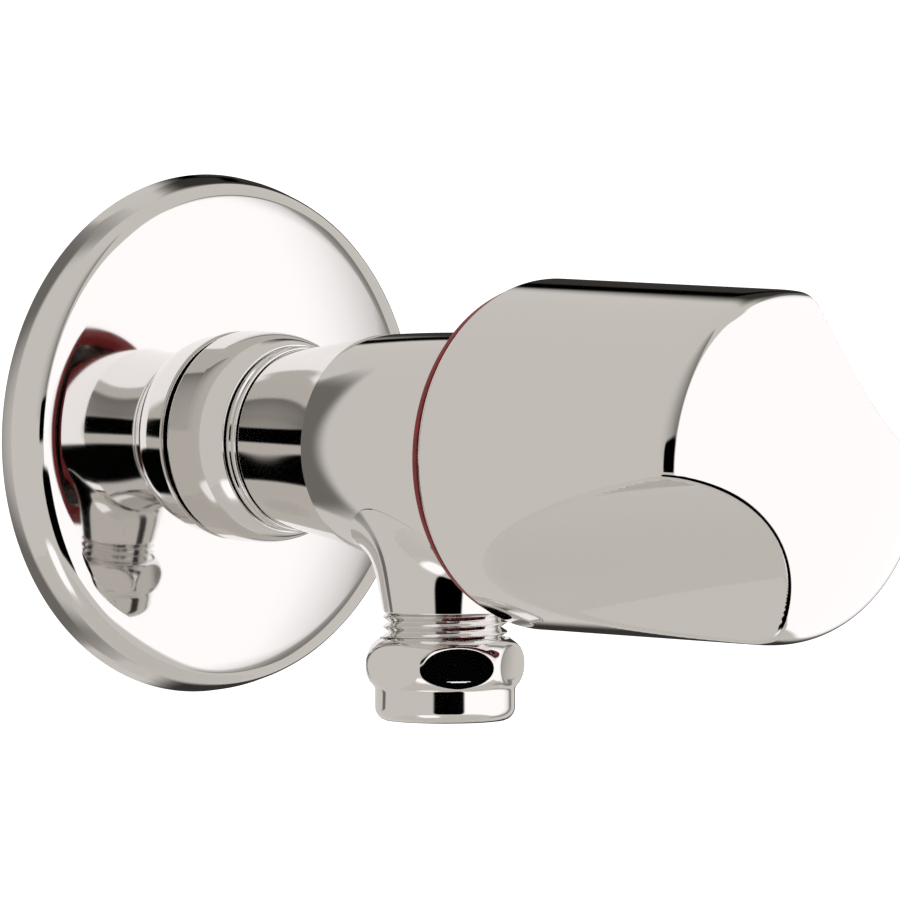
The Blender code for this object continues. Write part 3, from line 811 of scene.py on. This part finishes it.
# %% Cards
def glow(name, colour, strength):
    """A surface that only gives light, or only swallows it, and thins out where its cover falls to 0."""
    material = bpy.data.materials.new(name)
    material.use_nodes = True
    tree = material.node_tree
    tree.nodes.clear()
    light = add(tree, "ShaderNodeEmission", Color=linear(colour), Strength=strength)
    clear = add(tree, "ShaderNodeBsdfTransparent")
    cover = add(tree, "ShaderNodeAttribute", {"attribute_name": "cover"})
    both = add(tree, "ShaderNodeMixShader", _0=cover.outputs["Fac"], _1=clear.outputs[0], _2=light.outputs[0])
    out = add(tree, "ShaderNodeOutputMaterial")
    tree.links.new(both.outputs[0], out.inputs["Surface"])
    return material


def card(name, azimuths, elevations, material, distance=1.5, corner=4, fade=0.1, from_left=False,
         middle=centre):
    """A curved card over a range of azimuth and elevation seen from its middle, with rounded corners.

    The outline is |u|^p + |v|^p = 1. The cover rises from 0 to 1 over the fade, a share of the half width,
    or with from_left it rises all the way from the left edge to the right.
    """
    steps = 61
    line = np.linspace(-1, 1, steps)
    u, v = np.meshgrid(line, line, indexing="ij")
    largest = np.maximum(abs(u), abs(v))
    length = (abs(u) ** corner + abs(v) ** corner) ** (1 / corner)
    shrink = largest / np.maximum(length, 1e-9)
    a = np.radians(np.mean(azimuths) + np.ptp(azimuths) / 2 * u * shrink)
    e = np.radians(np.mean(elevations) + np.ptp(elevations) / 2 * v * shrink)
    ways = np.stack([np.sin(a) * np.cos(e), -np.cos(a) * np.cos(e), np.sin(e)], axis=-1)
    first = (np.arange(steps - 1)[:, None] * steps + np.arange(steps - 1)).ravel()
    faces = np.stack([first, first + 1, first + steps + 1, first + steps], axis=-1)
    mesh = bpy.data.meshes.new(name)
    mesh.from_pydata((middle + distance * ways).reshape(-1, 3), [], faces.tolist())
    mesh.materials.append(material)
    rise = np.clip((1 - largest) / fade, 0, 1)
    cover = rise**2 * (3 - 2 * rise) * (((u + 1) / 2) ** 2 if from_left else 1)
    mesh.attributes.new("cover", "FLOAT", "POINT").data.foreach_set("value", cover.ravel())
    sheet = bpy.data.objects.new(name, mesh)
    sheet.visible_camera = False
    bpy.context.scene.collection.objects.link(sheet)
    return sheet


world = bpy.data.worlds.new("room")
world.use_nodes = True
world.node_tree.nodes["Background"].inputs["Color"].default_value = linear("#D8D4CF")
world.node_tree.nodes["Background"].inputs["Strength"].default_value = 1.0
bpy.context.scene.world = world

white = glow("soft_box_light", "#FFFDFE", 1.29)
black = glow("black_flag_cloth", "#000000", 0.0)
dim = glow("grey_flag_cloth", "#7A7672", 0.9)
backdrop_light = glow("backdrop_light", "#FFFFFF", 1.3)
# Painted shade: a dim glowing card stands in for the shaded corner of the room behind the valve, seen only in
# reflections.
dark_corner = glow("room_corner_painted_shade", "#3E3B39", 0.8)

backdrop = card("backdrop", (115, 163), (-24, 18), backdrop_light, distance=3.2, corner=12, fade=0.02)
backdrop.visible_camera = True
backdrop.visible_glossy = False
knob_middle, wall_middle = np.array([0.0, -0.1, 0.0]), np.array([0.0, -0.003, 0.0])
card("soft_box_right", (-53, 112), (-58, 82), white, distance=0.12, corner=6, fade=0.03, middle=knob_middle)
card("soft_box_falloff", (86, 122), (-62, 74), dim, distance=0.118, corner=5, from_left=True,
     middle=knob_middle)
card("soft_box_low", (-104, -48), (-64, -38), white, fade=0.4)
card("soft_box_edge_flag", (-90, -37), (3, 84), dim, distance=0.19, fade=0.12, from_left=True)
card("flag_near_camera", (-64, -36), (-4, 14), black, distance=0.16, corner=5, fade=0.25)
card("flag_under_camera", (-62, -8), (-46, -10), black, distance=0.125, corner=5, fade=0.15)
card("flag_behind", (125, 163), (17, 26), black, distance=1.4, corner=8, fade=0.6)
# The shaded room behind the valve, as a dim glowing card: painted shade in the reflections.
card("room_behind", (118, 148), (-60, 65), dark_corner, distance=1.45, corner=5, fade=0.4)
card("wall_shade", (-135, -101), (-80, 80), dim, distance=0.05, corner=5, fade=0.35, middle=wall_middle)

# %% [markdown]
# The floor is a pale matt disc, low enough to light the undersides without drawing a line across them.

# %% Floor
floor_material, tree, shader = new_material("pale_floor")
shader.inputs["Base Color"].default_value = linear("#F4F3F1")
shader.inputs["Roughness"].default_value = 0.7
FLOOR_RADIUS, FLOOR_LEVEL = 1.6, -1.5
angle = full_turn(64)
rim = np.stack([np.cos(angle), np.sin(angle), np.zeros_like(angle)], axis=-1) * FLOOR_RADIUS
rim[:, 2] = FLOOR_LEVEL
floor_mesh = bpy.data.meshes.new("floor")
floor_mesh.from_pydata(rim, [], [list(range(len(rim)))])
floor_mesh.materials.append(floor_material)
floor = bpy.data.objects.new("floor", floor_mesh)
bpy.context.scene.collection.objects.link(floor)
